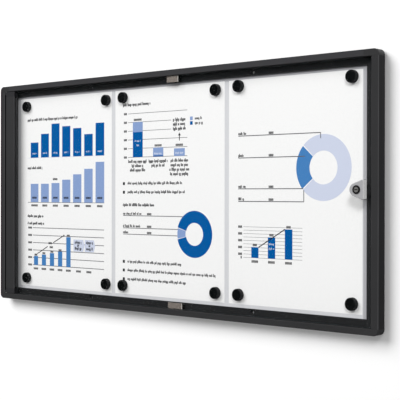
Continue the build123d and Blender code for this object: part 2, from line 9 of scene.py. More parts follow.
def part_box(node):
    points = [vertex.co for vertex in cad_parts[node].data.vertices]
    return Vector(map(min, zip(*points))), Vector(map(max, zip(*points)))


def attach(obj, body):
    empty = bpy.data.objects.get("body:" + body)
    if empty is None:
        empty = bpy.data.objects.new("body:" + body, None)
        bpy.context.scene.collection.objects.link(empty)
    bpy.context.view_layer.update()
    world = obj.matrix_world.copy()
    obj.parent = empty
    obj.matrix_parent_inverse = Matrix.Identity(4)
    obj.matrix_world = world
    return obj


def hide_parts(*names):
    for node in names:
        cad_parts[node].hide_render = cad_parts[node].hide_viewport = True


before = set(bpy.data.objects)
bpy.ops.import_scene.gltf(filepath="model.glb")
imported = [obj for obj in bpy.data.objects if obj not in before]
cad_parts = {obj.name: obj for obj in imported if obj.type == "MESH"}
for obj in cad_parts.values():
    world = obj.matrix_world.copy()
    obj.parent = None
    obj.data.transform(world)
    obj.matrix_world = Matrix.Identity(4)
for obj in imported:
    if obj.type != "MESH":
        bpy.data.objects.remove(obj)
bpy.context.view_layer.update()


# Frame profiles
# Four aluminium extrusions with a satin black coat, pushed on the legs of the corner pieces.
# The die leaves faint lines along each length. Faces set back from the raised front face have
# painted shade, deepest on the hinge side and on the bottom rail's ledge. The top rail's raised
# face is painted lighter. The chamfers of the stiles and the bottom rail carry a painted highlight,
# and those of the top rail painted shade.
class Signal:
    """A node's output. Arithmetic on it adds Math nodes, and node() adds any other node."""

    def __init__(self, tree, socket=None):
        self.tree = tree
        self.socket = socket

    def node(self, kind, settings=None, inputs=None, output=None):
        """Add a node, set it up, then set or link its sockets by name or number."""
        made = self.tree.nodes.new(kind)
        for name, value in (settings or {}).items():
            setattr(made, name, value)
        for key, value in (inputs or {}).items():
            live = [socket for socket in made.inputs if socket.enabled]
            socket = live[key] if isinstance(key, int) else next(s for s in live if s.name == key)
            if isinstance(value, Signal):
                self.tree.links.new(value.socket, socket)
            else:
                socket.default_value = value
        outputs = [socket for socket in made.outputs if socket.enabled]
        if output:
            outputs = [socket for socket in outputs if socket.name == output]
        return Signal(self.tree, outputs[0] if outputs else None)

    def beside(self, name):
        """Another output of the same node."""
        return Signal(self.tree, self.socket.node.outputs[name])

    def math(self, operation, *values, clamp=False):
        settings = {"operation": operation, "use_clamp": clamp}
        return self.node("ShaderNodeMath", settings, dict(enumerate(values)))

    def __add__(self, other):
        return self.math("ADD", self, other)

    def __sub__(self, other):
        return self.math("SUBTRACT", self, other)

    def __rsub__(self, other):
        return self.math("SUBTRACT", other, self)

    def __mul__(self, other):
        return self.math("MULTIPLY", self, other)

    __radd__ = __add__
    __rmul__ = __mul__


def tone(red, green, blue):
    """A colour as seen on a screen, 0 to 255, as the linear colour that a shader takes."""
    parts = [value / 255 for value in (red, green, blue)]
    linear = [p / 12.92 if p <= 0.04045 else ((p + 0.055) / 1.055) ** 2.4 for p in parts]
    return (*linear, 1.0)


def new_finish(name):
    """An empty material, with its tree to build on."""
    material = bpy.data.materials.new(name)
    material.use_nodes = True
    material.node_tree.nodes.clear()
    return material, Signal(material.node_tree)


def close_finish(tree, sockets):
    """The shader of a material, and its output."""
    shader = tree.node("ShaderNodeBsdfPrincipled", inputs=sockets)
    tree.node("ShaderNodeOutputMaterial", inputs={"Surface": shader})


def place_on(tree):
    """Place on a piece, in metres, in the frame that all pieces share."""
    return tree.node("ShaderNodeTexCoord", output="Object")


def stretched(place, across):
    """Place scaled along each axis, so that a pattern on it is drawn out."""
    return place.node("ShaderNodeMapping", inputs={"Vector": place, "Scale": across})


def speckle(place, size, detail=2.0):
    """Soft noise from 0 to 1, in patches of about this size."""
    return place.node(
        "ShaderNodeTexNoise", inputs={"Vector": place, "Scale": 1 / size, "Detail": detail}
    )


def between(share, first, second):
    """Colour between two others."""
    return share.node("ShaderNodeMix", {"data_type": "RGBA"}, {"Factor": share, "A": first, "B": second})


def relief(height, depth):
    """Normal of a surface whose fine relief is this deep."""
    return height.node("ShaderNodeBump", inputs={"Strength": 1.0, "Distance": depth, "Height": height})


chamfer_gain = 4.0


def chamfer_mask(tree):
    """1 on chamfers and rounds, whose normals lie between the axes, and 0 on flat faces. Painted
    highlights and painted shade on edges are laid with it.
    """
    normal = tree.node("ShaderNodeTexCoord", output="Normal")
    size = tree.node("ShaderNodeVectorMath", {"operation": "ABSOLUTE"}, {0: normal})
    x = tree.node("ShaderNodeSeparateXYZ", inputs={0: size})
    largest = tree.math("MAXIMUM", tree.math("MAXIMUM", x, x.beside("Y")), x.beside("Z"))
    return tree.math("MULTIPLY", 1 - largest, chamfer_gain, clamp=True)


def dress(material, *nodes):
    """Give CAD nodes a finish."""
    for node in nodes:
        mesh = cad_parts[node].data
        mesh.materials.clear()
        mesh.materials.append(material)


die_line = 0.0005
coat_grain = 0.00025
coat_cloud = 0.06
coat_relief = 0.000012
draw_out = 0.004
front_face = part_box("frame_top")[0].y
unshaded_front_depth = 0.002


def satin_black(name, along, painted_shade_tones, face_tones, painted_chamfer_tone):
    """Satin black coat on an extrusion that runs along X, 0, or Z, 2."""
    material, tree = new_finish(name)
    place = place_on(tree)
    lines = speckle(stretched(place, [draw_out if axis == along else 1.0 for axis in range(3)]), die_line)
    grain = speckle(place, coat_grain)
    cloud = speckle(place, coat_cloud)
    # 1 on the raised front face and 0 on every face set back from it, which gets painted shade.
    unshaded_front = tree.node(
        "ShaderNodeMapRange",
        inputs={
            "Value": tree.node("ShaderNodeSeparateXYZ", inputs={0: place}, output="Y"),
            "From Min": front_face + unshaded_front_depth,
            "From Max": front_face,
        },
    )
    painted_shade_coat = between(cloud, *painted_shade_tones)
    face_coat = between(cloud, *face_tones)
    # Chamfers on the front face take the given chamfer tone: a painted highlight on most rails, painted
    # shade on the top rail.
    on_chamfer = chamfer_mask(tree)
    edges = on_chamfer * unshaded_front * (0.4 + 0.6 * cloud)
    close_finish(
        tree,
        {
            "Base Color": between(edges, between(unshaded_front, painted_shade_coat, face_coat), painted_chamfer_tone),
            "Roughness": 0.66 + 0.10 * lines + 0.08 * cloud - 0.25 * unshaded_front * (1 - on_chamfer),
            "Specular IOR Level": 0.03,
            "Normal": relief(0.6 * lines + 0.4 * grain, coat_relief),
        },
    )
    return material


# Coat tones. The top rail's face tones are painted lighter, and the depth tones are painted shade.
plain_face = tone(46, 46, 47), tone(52, 52, 53)
painted_light_face = tone(54, 54, 56), tone(60, 60, 62)
recess_shade = tone(38, 38, 39), tone(44, 44, 45)
deep_recess_shade = tone(32, 32, 33), tone(37, 37, 38)
hinge_recess_shade = tone(25, 25, 26), tone(31, 31, 32)
# Chamfer tones: painted shade on the top rail, painted highlights on the others.
painted_shade_chamfer = tone(24, 24, 25)
painted_glint_chamfer = tone(66, 66, 67)
painted_highlight_chamfer = tone(92, 92, 94)
dress(satin_black("top_rail_black", 0, recess_shade, painted_light_face, painted_shade_chamfer), "frame_top")
dress(satin_black("bottom_rail_black", 0, deep_recess_shade, plain_face, painted_glint_chamfer), "frame_bottom")
hinge_black = satin_black("hinge_black", 2, hinge_recess_shade, plain_face, painted_highlight_chamfer)
dress(hinge_black, "frame_left")
dress(satin_black("stile_black", 2, recess_shade, plain_face, painted_highlight_chamfer), "frame_right")


# Corner pieces
# Moulded black nylon blocks with two legs, one in a rail and one in a stile. The
# mould's spark finish gives them a coarser, duller grain than the coated metal.
spark_grain = 0.0009
grain_relief = 0.00006
corner_tones = tone(44, 44, 45), tone(56, 56, 57)


def grained(name, tones, grain_size, roughness):
    """A finish with a fine even grain, as moulded, sintered, foamed and sprayed pieces have."""
    material, tree = new_finish(name)
    place = place_on(tree)
    grain = speckle(place, grain_size, 3.0)
    cloud = speckle(place, coat_cloud)
    close_finish(
        tree,
        {
            "Base Color": between(0.7 * grain + 0.3 * cloud, *tones),
            "Roughness": roughness + 0.15 * grain,
            "Specular IOR Level": 0.03,
            "Normal": relief(grain, grain_relief),
        },
    )
    return material


corner_pieces = ["corner_top_left", "corner_top_right", "corner_bottom_left", "corner_bottom_right"]
dress(grained("corner_black", corner_tones, spark_grain, 0.45), *corner_pieces)


# Screws and pins
# Zinc plated steel: countersunk screws from the back into the corner legs, the pins
# that the door turns on, and the screws of the pivot blocks and of the lock's cam.
passivation_cloud = 0.004
scratch_width = 0.0003
scratch_run = (1.0, 0.1, 0.3)
scratch_relief = 0.00001


def plated_steel():
    """Plated steel with faint cloudy passivation and fine scratches."""
    material, tree = new_finish("zinc_steel")
    place = place_on(tree)
    cloud = speckle(place, passivation_cloud)
    scratch = speckle(stretched(place, scratch_run), scratch_width)
    close_finish(
        tree,
        {
            "Base Color": between(cloud, tone(172, 170, 165), tone(205, 203, 196)),
            "Metallic": 1.0,
            "Roughness": 0.25 + 0.15 * cloud + 0.08 * scratch,
            "Normal": relief(scratch, scratch_relief),
        },
    )
    return material


zinc = plated_steel()
dress(zinc, "corner_screws", "hinge_pin_top", "hinge_pin_bottom", "pivot_screws", "cam_screw")


# Backing board
# Brown hardboard behind the steel panel, smooth side forward. Its rough side
# faces the wall and keeps the mesh of the screen that it was pressed on.
screen_pitch = 0.0022
screen_relief = 0.00012
board_fibre = 0.0012
board_cloud = 0.05


def hardboard():
    material, tree = new_finish("hardboard")
    place = place_on(tree)
    fibre = speckle(stretched(place, (0.25, 1.0, 1.0)), board_fibre, 4.0)
    cloud = speckle(place, board_cloud, 3.0)
    turns = 2 * pi / screen_pitch
    x = tree.node("ShaderNodeSeparateXYZ", inputs={0: place})
    mesh = tree.math("SINE", x * turns) * tree.math("SINE", x.beside("Z") * turns)
    close_finish(
        tree,
        {
            "Base Color": between(0.6 * fibre + 0.4 * cloud, tone(96, 70, 48), tone(142, 108, 76)),
            "Roughness": 0.75 + 0.15 * fibre,
            "Specular IOR Level": 0.2,
            "Normal": relief(0.5 * mesh + 0.5 * fibre, screen_relief),
        },
    )
    return material


dress(hardboard(), "backing_board")


# Steel panel
# Thin steel sheet with a light grey coat, in the grooves of the frame. The
# magnets hold on it. The coat has a fine orange peel. Along the top and right rims, where the
# frame shades it, painted shade makes it a darker grey.
panel_low, panel_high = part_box("back_panel")
top_rim = 0.007
right_rim = panel_high.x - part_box("sheet_right")[1].x
rim_blend = 0.002
orange_peel = 0.0012
peel_relief = 0.00003
panel_cloud = 0.08


def grey_coat():
    material, tree = new_finish("panel_grey")
    place = place_on(tree)
    peel = speckle(place, orange_peel)
    cloud = speckle(place, panel_cloud)
    x = tree.node("ShaderNodeSeparateXYZ", inputs={0: place})

    def beyond(across, start):
        reach = {"Value": across, "From Min": start, "From Max": start + rim_blend}
        return tree.node("ShaderNodeMapRange", inputs=reach)

    # Painted shade along the top and right rims of the panel.
    top = beyond(x.beside("Z"), panel_high.z - top_rim)
    right = beyond(x, panel_high.x - right_rim)
    painted_rim_shade = tree.math("MAXIMUM", top, right)
    coat = between(cloud, tone(208, 209, 212), tone(216, 217, 220))
    close_finish(
        tree,
        {
            "Base Color": between(painted_rim_shade, coat, tone(172, 172, 176)),
            "Roughness": 0.42 + 0.10 * peel,
            "Specular IOR Level": 0.15,
            "Normal": relief(peel, peel_relief),
        },
    )
    return material


dress(grey_coat(), "back_panel")


# Paper sheets
# Three sheets of white office paper, side by side on the panel and a tenth of a
# millimetre thick, with the faint mottle that paper has against the light.
paper_thickness = 0.0001
paper_front = panel_low.y - paper_thickness
paper_fibre = 0.0006
fibre_relief = 0.00003
paper_mottle = 0.003


def office_paper():
    material, tree = new_finish("paper_white")
    place = place_on(tree)
    fibre = speckle(place, paper_fibre, 4.0)
    mottle = speckle(place, paper_mottle)
    close_finish(
        tree,
        {
            "Base Color": between(0.5 * fibre + 0.5 * mottle, tone(236, 236, 236), tone(255, 255, 254)),
            "Roughness": 0.80 + 0.12 * fibre,
            "Specular IOR Level": 0.15,
            "Normal": relief(fibre, fibre_relief),
        },
    )
    return material


def sheet_of_paper(name, material):
    """A thin flat sheet on the panel, as wide and tall as its solid."""
    low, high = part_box("sheet_" + name)
    edges = [(low.x, low.z), (high.x, low.z), (high.x, high.z), (low.x, high.z)]
    sheet = bmesh.new()
    face = sheet.faces.new([sheet.verts.new((x, paper_front, z)) for x, z in edges])
    made = bmesh.ops.extrude_face_region(sheet, geom=[face])["geom"]
    back = [part for part in made if isinstance(part, bmesh.types.BMVert)]
    bmesh.ops.translate(sheet, vec=(0, paper_thickness, 0), verts=back)
    bmesh.ops.recalc_face_normals(sheet, faces=sheet.faces)
    mesh = bpy.data.meshes.new("paper_" + name)
    sheet.to_mesh(mesh)
    mesh.materials.append(material)
    paper = bpy.data.objects.new("paper_" + name, mesh)
    bpy.context.scene.collection.objects.link(paper)
    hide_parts("sheet_" + name)
    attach(paper, "frame")


sheet_names = ("left", "middle", "right")
white_paper = office_paper()
for sheet_name in sheet_names:
    sheet_of_paper(sheet_name, white_paper)


# Prints on the sheets
# Office charts in blue toner, with strokes in place of words. Each mark is a
# thin flat solid on the paper, placed in millimetres from the sheet's top left.
millimetre = 0.001
toner_thickness = 0.03 * millimetre
toner_relief = 0.02 * millimetre
hairline = 0.45
thin_rule = 0.75
firm_rule = 1.1
word_gap = 1.5
figure_pitch = 1.9
figure_height = 3.2
figure_share = 0.76
label_gap = 2.0
ring_steps = 120
stroke_draw = Random(11)
toner_tones = {
    "black": tone(36, 36, 40),
    "rule": tone(112, 112, 116),
    "leader": tone(96, 96, 100),
    "white": tone(244, 247, 250),
    "dark blue": tone(0, 88, 159),
    "mid blue": tone(70, 128, 188),
    "light blue": tone(137, 161, 206),
    "pale blue": tone(205, 212, 231),
}


def toner(name, shade):
    """Toner fused on paper: it follows the paper's fibres and is a little glossier."""
    material, tree = new_finish(name)
    place = place_on(tree)
    fibre = speckle(place, paper_fibre, 4.0)
    close_finish(
        tree,
        {
            "Base Color": shade,
            "Roughness": 0.50 + 0.20 * fibre,
            "Specular IOR Level": 0.01,
            "Normal": relief(fibre, toner_relief),
        },
    )
    return material


toners = {ink: toner("toner_" + ink.replace(" ", "_"), shade) for ink, shade in toner_tones.items()}
ink_numbers = {ink: number for number, ink in enumerate(toners)}

# Rules lie lowest, bars and sectors over them, and strokes and leaders on top.
layer_of = {ink: 1 for ink in toners}
layer_of.update({"rule": 0, "black": 2, "white": 2, "leader": 2})


def new_tree(name, sockets):
    """An empty geometry tree with named inputs."""
    tree = bpy.data.node_groups.new(name, "GeometryNodeTree")
    for socket, kind in sockets:
        tree.interface.new_socket(socket, in_out="INPUT", socket_type="NodeSocket" + kind)
    tree.interface.new_socket("Piece", in_out="OUTPUT", socket_type="NodeSocketGeometry")
    return Signal(tree)


def settle(name, tree, values, mesh=None):
    """Run a tree and keep what it makes as a plain mesh of its own."""
    piece = bpy.data.objects.new(name, mesh or bpy.data.meshes.new(name))
    bpy.context.scene.collection.objects.link(piece)
    modifier = piece.modifiers.new(name, "NODES")
    modifier.node_group = tree.tree
    for socket in tree.tree.interface.items_tree:
        if socket.name in values:
            modifier[socket.identifier] = values[socket.name]
    made = bpy.data.meshes.new_from_object(piece.evaluated_get(bpy.context.evaluated_depsgraph_get()))
    piece.modifiers.remove(modifier)
    piece.data = made
    return piece


def mark_tree():
    """Puts a flat block or a flat triangle on each point, as large, tilted and inked as it says."""
    tree = new_tree("printed_marks", [("Spots", "Geometry")])
    spots = tree.node("NodeGroupInput", output="Spots")

    def told(name, kind):
        return tree.node("GeometryNodeInputNamedAttribute", {"data_type": kind}, {"Name": name})

    block = tree.node("GeometryNodeMeshCube")
    prism = tree.node("GeometryNodeMeshCylinder", inputs={"Vertices": 3, "Radius": 1.0, "Depth": 1.0})
    triangle = tree.node(
        "GeometryNodeTransform", inputs={"Geometry": prism, "Rotation": Euler((pi / 2, 0, 0))}
    )
    tilt = tree.node("ShaderNodeCombineXYZ", inputs={"Y": told("tilt", "FLOAT")})
    turn = tree.node("FunctionNodeEulerToRotation", inputs={0: tilt})
    pointed = told("pointed", "BOOLEAN")
    blunt = tree.node("FunctionNodeBooleanMath", {"operation": "NOT"}, {0: pointed})
    marks = tree.node("GeometryNodeJoinGeometry")
    join = marks.socket.node.inputs[0]
    for shape, chosen in ((triangle, pointed), (block, blunt)):
        copies = tree.node(
            "GeometryNodeInstanceOnPoints",
            inputs={
                "Points": spots,
                "Selection": chosen,
                "Instance": shape,
                "Rotation": turn,
                "Scale": told("size", "FLOAT_VECTOR"),
            },
        )
        tree.tree.links.new(copies.socket, join)
    marks = tree.node("GeometryNodeRealizeInstances", inputs={0: marks})
    number = told("ink", "INT")
    for ink, material in toners.items():
        wanted = tree.node(
            "FunctionNodeCompare",
            {"data_type": "INT", "operation": "EQUAL"},
            {"A": number, "B": ink_numbers[ink]},
        )
        marks = tree.node(
            "GeometryNodeSetMaterial",
            inputs={"Geometry": marks, "Selection": wanted, "Material": material},
        )
    tree.node("NodeGroupOutput", inputs={"Piece": marks})
    return tree


def slant(start, end):
    """Tilt of a line between two places on a page."""
    return -Vector((1, 0)).angle_signed(Vector(end) - Vector(start), 0.0)


class Page:
    """The marks on one sheet, in millimetres right and down from its top left corner."""

    def __init__(self, sheet):
        low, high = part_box(sheet)
        self.corner = Vector((low.x, paper_front, high.z))
        self.marks = []

    def spot(self, right, down, layer=0):
        """A place on the page as a point of the shared frame, in the middle of a layer of toner."""
        out = (layer + 0.5) * toner_thickness
        return self.corner + Vector((right * millimetre, -out, -down * millimetre))

    def mark(self, right, down, width, height, ink, tilt=0.0, pointed=False):
        size = (width * millimetre, toner_thickness, height * millimetre)
        spot = self.spot(right, down, layer_of[ink])
        self.marks.append((spot, size, tilt, pointed, ink_numbers[ink]))

    def block(self, left, top, width, height, ink):
        self.mark(left + width / 2, top + height / 2, width, height, ink)

    def line(self, start, end, ink, width=hairline):
        middle = (Vector(start) + Vector(end)) / 2
        length = (Vector(end) - Vector(start)).length
        self.mark(*middle, length, width, ink, slant(start, end))

    def arrow(self, start, end, ink, width, head=1.6):
        self.line(start, end, ink, width)
        self.mark(*end, head, head, ink, slant(start, end), pointed=True)

    def words(self, left, middle, length, ink="black", tall=2.6, bold=1.25, gap=0.35):
        """A line of text without letters: upright strokes in groups as long as words."""
        right = left
        while right < left + length:
            for _ in range(stroke_draw.randint(2, 8)):
                width = bold * stroke_draw.uniform(0.6, 1.1)
                rise, drop = stroke_draw.choice(((0.0, 0.0), (0.0, 0.0), (0.5, 0.0), (0.0, 0.4)))
                if right + width <= left + length:
                    self.block(right, middle - tall * (0.5 + rise), width, tall * (1 + rise + drop), ink)
                right += width + gap
            right += word_gap

    def title(self, left, middle, length):
        self.words(left, middle, length, tall=2.9, bold=1.5)

    def centred(self, middle, down, length):
        self.words(middle - length / 2, down + 0.2, length, tall=3.0, bold=1.35)

    def figures(self, middle, down, length):
        """A number without digits: close strokes of one height."""
        count = round(length / figure_pitch)
        pitch = length / count
        for step in range(count):
            left = middle - length / 2 + step * pitch
            self.block(left, down - figure_height / 2, figure_share * pitch, figure_height, "black")

    def knocked_out(self, middle, down, length):
        """Fine strokes that are left white in a bar."""
        self.words(middle - length / 2, down, length, "white", tall=1.7, bold=0.55, gap=0.65)

    def bars(self, left, base, pitch, width, heights, ink):
        for step, height in enumerate(heights):
            self.block(left + step * pitch, base - height, width, height, ink)

    def grid(self, left, right, downs, label_left, width):
        """Level rules, each with a number to its left."""
        label_right = left - label_gap
        for down in downs:
            self.line((left, down), (right, down), "rule", width)
            self.figures((label_left + label_right) / 2, down, label_right - label_left)

    def print(self, name):
        """Make all the marks of the page one piece on the frame."""
        mesh = bpy.data.meshes.new(name)
        spots, sizes, tilts, points, inks = zip(*self.marks)
        mesh.from_pydata(spots, [], [])
        for attribute, kind, field, values in (
            ("size", "FLOAT_VECTOR", "vector", [part for size in sizes for part in size]),
            ("tilt", "FLOAT", "value", tilts),
            ("pointed", "BOOLEAN", "value", points),
            ("ink", "INT", "value", inks),
        ):
            mesh.attributes.new(attribute, kind, "POINT").data.foreach_set(field, values)
        piece = settle(name, marks_on_paper, {}, mesh)
        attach(piece, "frame")


def ring_tree():
    """Bends a thin bar into a flat sector of a ring, clockwise from its start."""
    tree = new_tree(
        "ring_sector",
        [
            ("Centre", "Vector"),
            ("Inner radius", "Float"),
            ("Outer radius", "Float"),
            ("Start", "Float"),
            ("Sweep", "Float"),
            ("Thickness", "Float"),
            ("Toner", "Material"),
        ],
    )
    asked = tree.node("NodeGroupInput", output="Centre")
    inner = asked.beside("Inner radius")
    bar = tree.node(
        "GeometryNodeMeshCube",
        inputs={"Size": (1.0, 1.0, 1.0), "Vertices X": ring_steps + 1, "Vertices Y": 2, "Vertices Z": 2},
    )
    x = tree.node("ShaderNodeSeparateXYZ", inputs={0: tree.node("GeometryNodeInputPosition")})
    angle = asked.beside("Start") - asked.beside("Sweep") * (x + 0.5)
    radius = inner + (asked.beside("Outer radius") - inner) * (x.beside("Z") + 0.5)
    bent = tree.node(
        "ShaderNodeCombineXYZ",
        inputs={
            "X": radius * tree.math("COSINE", angle),
            "Y": asked.beside("Thickness") * x.beside("Y"),
            "Z": radius * tree.math("SINE", angle),
        },
    )
    placed = tree.node("ShaderNodeVectorMath", {"operation": "ADD"}, {0: bent, 1: asked})
    sector = tree.node("GeometryNodeSetPosition", inputs={"Geometry": bar, "Position": placed})
    sector = tree.node("GeometryNodeRealizeInstances", inputs={0: sector})
    sector = tree.node(
        "GeometryNodeSetMaterial", inputs={"Geometry": sector, "Material": asked.beside("Toner")}
    )
    tree.node("NodeGroupOutput", inputs={"Piece": sector})
    return tree


marks_on_paper = mark_tree()
ring_on_paper = ring_tree()


def ring(name, page, centre, radii, start, sweep, ink):
    """A sector of a ring chart. Angles are in degrees, from the right, and the sweep is clockwise."""
    values = {
        "Centre": page.spot(*centre, layer_of[ink]),
        "Inner radius": radii[0] * millimetre,
        "Outer radius": radii[1] * millimetre,
        "Start": radians(start),
        "Sweep": radians(sweep),
        "Thickness": toner_thickness,
        "Toner": toners[ink],
    }
    piece = settle(name, ring_on_paper, values)
    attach(piece, "frame")


# Left sheet: two rows of bars and a chart with a rising arrow.
left_page = Page("sheet_left")
row_left = 24.5
row_pitch = 25.1
row_bar = 18.8
upper_row = (24, 37, 52, 47, 43, 33, 49)
lower_row = (29, 29, 30, 35, 43, 51, 61)
left_page.title(17, 34.3, 119)
left_page.bars(row_left, 93.8, row_pitch, row_bar, upper_row, "dark blue")
left_page.line((17.6, 94.2), (194, 94.2), "pale blue")
left_page.title(17, 110.5, 36)
left_page.bars(row_left, 164.2, row_pitch, row_bar, lower_row, "light blue")
left_page.line((17.6, 164.6), (194, 164.6), "rule", thin_rule)
for column in range(len(upper_row)):
    bar_middle = row_left + row_bar / 2 + row_pitch * column
    left_page.knocked_out(bar_middle, 87.2, 9)
    left_page.figures(bar_middle, 157.2, 11)
    left_page.figures(bar_middle, 169.4, 12 if column else 16)
left_page.figures(83.6, 128.2, 11)
left_page.title(17, 186.6, 39)
left_page.title(17, 198.2, 40)
left_page.grid(30, 193.6, [204.8 + 11.75 * step for step in range(6)], 18.5, firm_rule)
growth_left = 32.6
growth_base = 263.6
growth_pitch = 19.2
growth_bar = 10.0
growth = (14, 17, 20, 23, 46)
growth_middle = growth_left + growth_bar / 2
left_page.bars(growth_left, growth_base, growth_pitch, growth_bar, growth, "mid blue")
for column in range(7):
    left_page.figures(growth_middle + growth_pitch * column + max(0, column - 4) * 4, 269.2, 11)
for column, rise in enumerate(growth):
    left_page.figures(growth_middle + growth_pitch * column, growth_base - rise - 2.2, 7)
left_page.line((41, 245.6), (66, 233.4), "black", 1.3)
left_page.figures(72, 228.2, 8)
left_page.figures(74.5, 234.4, 8)
left_page.arrow((79, 227.2), (104, 215.4), "black", 1.3, 2.0)
for tag_left, tag_width in ((126, 21.8), (151.4, 20)):
    left_page.block(tag_left, 220.8, tag_width, 18.2, "pale blue")
    left_page.mark(tag_left + tag_width + 0.9, 229.9, 2.0, 10.5, "pale blue", pointed=True)
    for row in range(3):
        left_page.centred(tag_left + 10.5, 225.2 + 4.7 * row, 15 if row != 1 else 4)
left_page.print("print_left")

# Middle sheet: stacked bars with a legend, two lists and a ring chart.
middle_page = Page("sheet_middle")
middle_page.title(16, 22, 56)
middle_page.grid(26.4, 142.6, [34.8 + 12.64 * step for step in (0, 3, 4, 5)], 18, thin_rule)
middle_page.grid(26.4, 112, [34.8 + 12.64 * step for step in (1, 2)], 18, thin_rule)
middle_page.block(36.3, 47.4, 20.0, 14.4, "light blue")
middle_page.block(36.3, 61.8, 20.0, 36.2, "dark blue")
middle_page.block(77, 85.2, 20, 11.2, "light blue")
middle_page.block(77, 96.4, 20, 1.6, "dark blue")
middle_page.block(117.6, 87.4, 20.4, 10.6, "light blue")
middle_page.figures(46.3, 44, 16)
middle_page.knocked_out(46.3, 74.8, 12)
middle_page.knocked_out(46.3, 80.8, 5)
middle_page.figures(87, 82.2, 14)
middle_page.knocked_out(87, 94, 15)
middle_page.figures(127.8, 82.6, 14)
middle_page.knocked_out(127.8, 94, 15)
for row in range(3):
    middle_page.centred(127.6, 47.4 + 6.3 * row, 24)
middle_page.arrow((127.8, 76.6), (127.8, 68.2), "black", 1.4, 2.8)
for row, ink in enumerate(("light blue", "dark blue")):
    middle_page.block(147.6, 44.3 + 6.4 * row, 5, 5, ink)
    middle_page.words(156.6, 47.4 + 6.4 * row, 15)
for column_middle, lengths in ((46, (38, 24, 31)), (86.8, (37, 26)), (127.6, (33, 33, 38, 35))):
    for row, length in enumerate(lengths):
        middle_page.centred(column_middle, 104.4 + 6.25 * row, length)
for down, length in ((136, 109), (148.6, 114), (249.6, 108), (262.2, 169), (275, 115)):
    middle_page.block(15.9, down - 2.1, 4.2, 4.2, "black")
    middle_page.words(25.6, down, length)
middle_page.title(16, 167.4, 64)
for down, end, label in ((182.6, 134, 38), (200.6, 127, 35), (209.6, 125, 11)):
    middle_page.line((16.4, down), (end, down), "rule", firm_rule)
    middle_page.words(16.4, down - 2.6, label)
    middle_page.figures(69.5, down - 2.6, 9)
middle_page.print("print_middle")
middle_ring = (156, 206.6)
ring("print_middle_ring", middle_page, middle_ring, (15.8, 32.4), 164, 330, "dark blue")
ring("print_middle_share", middle_page, middle_ring, (16.6, 31.8), 192.5, 27, "light blue")

# Right sheet: a large ring chart with leader lines, and three bars with an arrow.
right_page = Page("sheet_right")
for down, end, label in ((74.4, 148.4, 15), (103.4, 124.4, 11), (144.2, 122, 13), (160.8, 122.8, 10)):
    right_page.line((16.2, down), (end, down), "leader", firm_rule)
    right_page.words(16.2, down - 2.6, label)
    right_page.figures(71, down - 2.6, 8)
right_page.line((148.4, 74.4), (148.4, 81.4), "leader", firm_rule)
right_page.line((122.8, 160.8), (122.8, 146), "leader", firm_rule)
for step in range(10):
    down = 194.2 + 4.49 * step
    right_page.line((25, down), (120.6, down), "rule", hairline)
    if step % 2 == 0:
        right_page.figures(19.6, down, 6.8)
right_page.figures(21.6, 234.6, 2.4)
yearly_left = 38.4
yearly_pitch = 27.4
yearly_bar = 12.0
yearly = (14, 27.5, 38.4)
right_page.bars(yearly_left, 234.6, yearly_pitch, yearly_bar, yearly, "dark blue")
right_page.arrow((50.6, 220.6), (92.4, 196.8), "black", 1.3)
for column, rise in enumerate(yearly):
    bar_middle = yearly_left + yearly_bar / 2 + yearly_pitch * column
    right_page.figures(bar_middle, 231.8 - rise, 7)
    right_page.figures(bar_middle, 239.4, 11)
right_page.knocked_out(71.8, 216, 9)
right_page.knocked_out(71.8, 222, 9)
right_page.print("print_right")
right_ring = (152.6, 118)
right_radii = (21, 41.6)
ring("print_right_ring", right_page, right_ring, right_radii, 136.6, 275, "pale blue")
ring("print_right_share", right_page, right_ring, right_radii, 219.5, 81, "mid blue")


# Magnets
# Twelve caps of black plastic with a ferrite disc pressed in from behind. Their sides are
# painted lighter than their fronts, as light falls on them, and their rims carry a painted
# highlight. They hold the sheets by their corners and can be slid or pulled off.
magnet_places = ("top_left", "top_right", "bottom_left", "bottom_right")
magnets = [f"{sheet}_{place}" for sheet in sheet_names for place in magnet_places]
cap_grain = 0.0008
cap_relief = 0.000015
cap_cloud = 0.01
ferrite_grain = 0.0004
ferrite_tones = tone(50, 48, 47), tone(70, 68, 66)


def facing(tree, axis):
    """How squarely a face looks along an axis, from -1 to 1."""
    normal = tree.node("ShaderNodeTexCoord", output="Normal")
    return tree.node("ShaderNodeSeparateXYZ", inputs={0: normal}, output=axis)


def polished_black():
    material, tree = new_finish("magnet_black")
    place = place_on(tree)
    grain = speckle(place, cap_grain, 3.0)
    cloud = speckle(place, cap_cloud)
    front = tree.math("ABSOLUTE", facing(tree, "Y"))
    face = between(cloud, tone(4, 4, 4), tone(8, 8, 8))
    lit_side = between(cloud, tone(30, 30, 31), tone(38, 38, 39))
    close_finish(
        tree,
        {
            # Painted light: lighter sides, and a painted highlight on the rims.
            "Base Color": between(0.7 * chamfer_mask(tree), between(front, lit_side, face), tone(56, 56, 57)),
            "Roughness": 0.30 + 0.12 * grain,
            "Specular IOR Level": 0.003,
            "Normal": relief(grain, cap_relief),
        },
    )
    return material


dress(polished_black(), *["magnet_cap_" + magnet for magnet in magnets])
ferrite = grained("ferrite", ferrite_tones, ferrite_grain, 0.6)
dress(ferrite, *["magnet_disc_" + magnet for magnet in magnets])


# Stop clips
# Steel sheet folded to a front plate, two cheeks and a tab that two rivets hold to the
# rail's inner wall. The pane closes on the plate, which is brushed along the rail. Its bends and
# edges carry a painted highlight.
brush_width = 0.0003
brush_run = (0.02, 1.0, 1.0)
brush_relief = 0.00001
clip_cloud = 0.004


